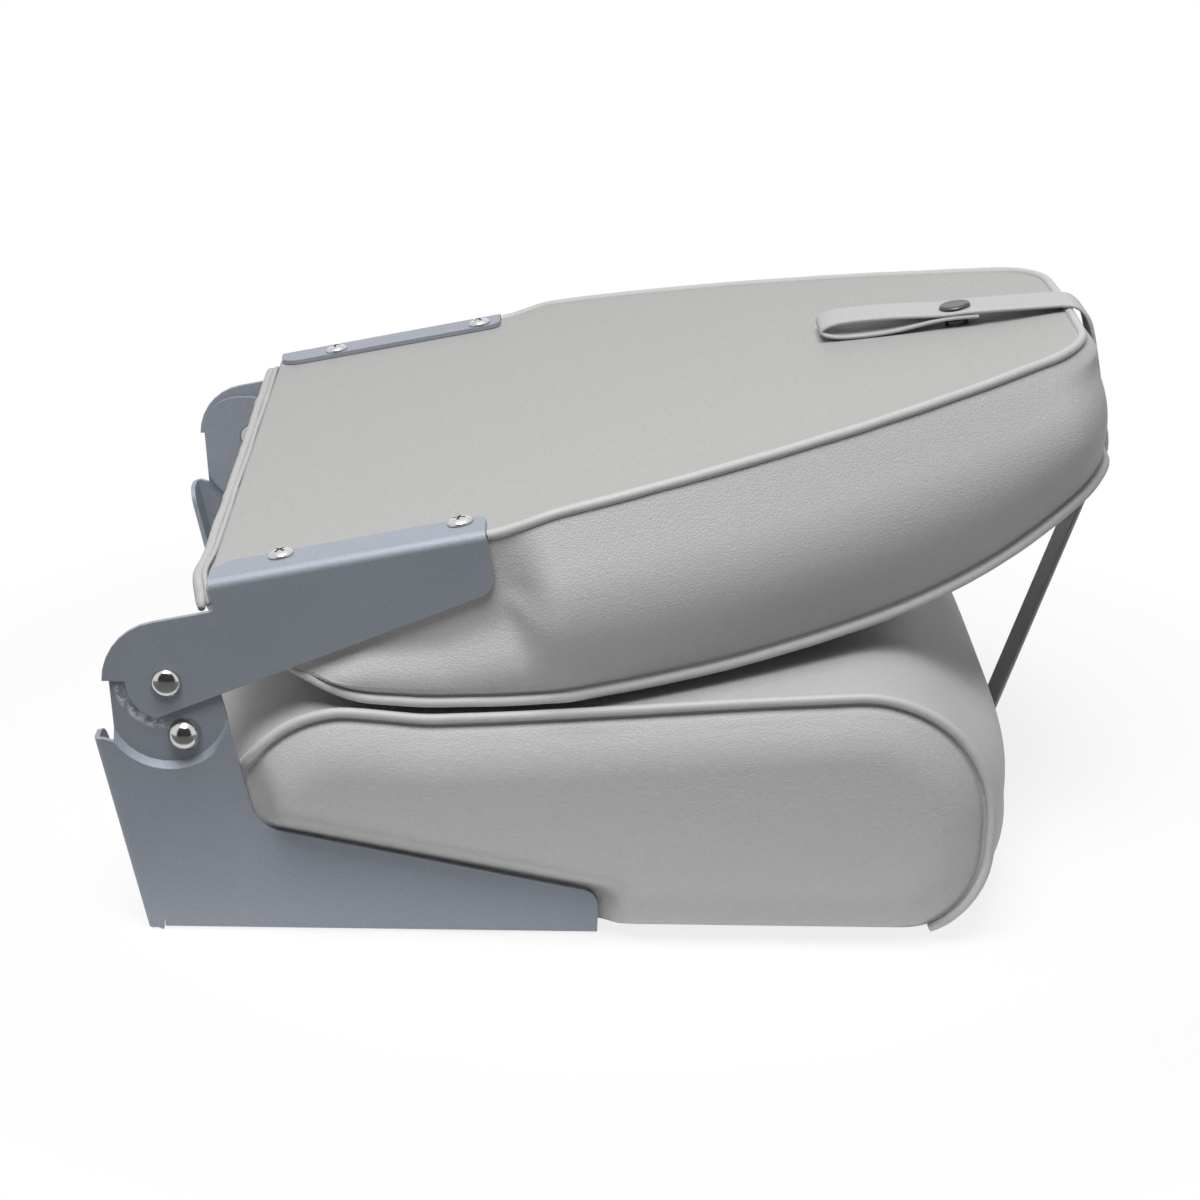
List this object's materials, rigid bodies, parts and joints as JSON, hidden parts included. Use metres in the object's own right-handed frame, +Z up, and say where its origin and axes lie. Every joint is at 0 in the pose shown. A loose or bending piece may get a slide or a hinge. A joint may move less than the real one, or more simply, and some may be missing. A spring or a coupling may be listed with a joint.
{
  "type": "fishing boat seat",
  "caption": "Folding boat seat with two welted vinyl cushions on plywood boards, riveted steel side hinges and a snap strap that holds it folded.",
  "frame": {"origin": "on the floor plane under the hinge bases, in the middle of the folded seat's length and width", "axes": "+X to the front of the seat, +Y to the sitter's left, +Z up; folded as pictured"},
  "size_m": [0.4846, 0.3802, 0.2599],
  "materials": {
    "vinyl": "matt grained",
    "foam": "open cell",
    "plywood": "unfinished",
    "fasteners": "bright zinc",
    "piping": "matt",
    "panel_vinyl": "matt grained",
    "hinge_steel": "satin powder coat",
    "rivets": "polished",
    "snap_cap": "dark plated"
  },
  "bodies": {
    "seat_base": {"seat_cover": "vinyl", "seat_foam": "foam", "seat_base_board": "plywood", "tee_nut_1": "fasteners", "tee_nut_2": "fasteners", "tee_nut_3": "fasteners", "tee_nut_4": "fasteners", "seat_welt_right": "piping", "seat_welt_left": "piping", "hinge_base_right": "hinge_steel", "pivot_rivet_right": "rivets", "stop_rivet_right": "rivets", "hinge_base_left": "hinge_steel", "pivot_rivet_left": "rivets", "stop_rivet_left": "rivets", "base_screw_right_1": "fasteners", "base_screw_right_2": "fasteners", "base_screw_right_3": "fasteners", "base_screw_left_1": "fasteners", "base_screw_left_2": "fasteners", "base_screw_left_3": "fasteners", "strap_anchor": "vinyl", "strap_anchor_screw": "fasteners"},
    "backrest": {"back_cover": "vinyl", "back_foam": "foam", "back_board": "plywood", "back_rear_panel": "panel_vinyl", "back_welt_rear": "piping", "back_welt_front": "piping", "back_hem": "vinyl", "hinge_arm_right": "hinge_steel", "hinge_arm_left": "hinge_steel", "arm_screw_right_1": "fasteners", "arm_screw_right_2": "fasteners", "arm_screw_left_1": "fasteners", "arm_screw_left_2": "fasteners", "snap_stud": "fasteners"},
    "strap_lower": {"strap_stretch": "vinyl"},
    "strap_middle": {"strap_wrap": "vinyl"},
    "strap_end": {"strap_tab": "vinyl", "snap_socket": "fasteners", "snap_cap": "snap_cap"}
  },
  "joints": [
    {"name": "back_fold", "type": "hinge", "parent": "seat_base", "child": "backrest", "pos_m": [-0.2085, 0, 0.12347], "axis": [0, -1, 0], "range_deg": [0, 88], "deforming": ["strap_stretch", "strap_wrap", "strap_tab", "snap_socket", "snap_cap"]},
    {"name": "strap_lift", "type": "hinge", "parent": "seat_base", "child": "strap_lower", "pos_m": [0.17385, 0, 0.00677], "axis": [0, 1, 0], "range_deg": [0, 70.8]},
    {"name": "strap_over", "type": "hinge", "parent": "strap_lower", "child": "strap_middle", "pos_m": [0.24135, 0, 0.19137], "axis": [0, 1, 0], "range_deg": [0, 22.9]},
    {"name": "strap_turn", "type": "hinge", "parent": "strap_middle", "child": "strap_end", "pos_m": [0.22025, 0, 0.2557], "axis": [0, 1, 0], "range_deg": [0, 104.2]}
  ],
  "couplings": [
    {"joint": "strap_lift", "follows": "back_fold", "ratio": 0.8},
    {"joint": "strap_over", "follows": "back_fold", "ratio": 0.25568},
    {"joint": "strap_turn", "follows": "back_fold", "ratio": 1.1796}
  ]
}
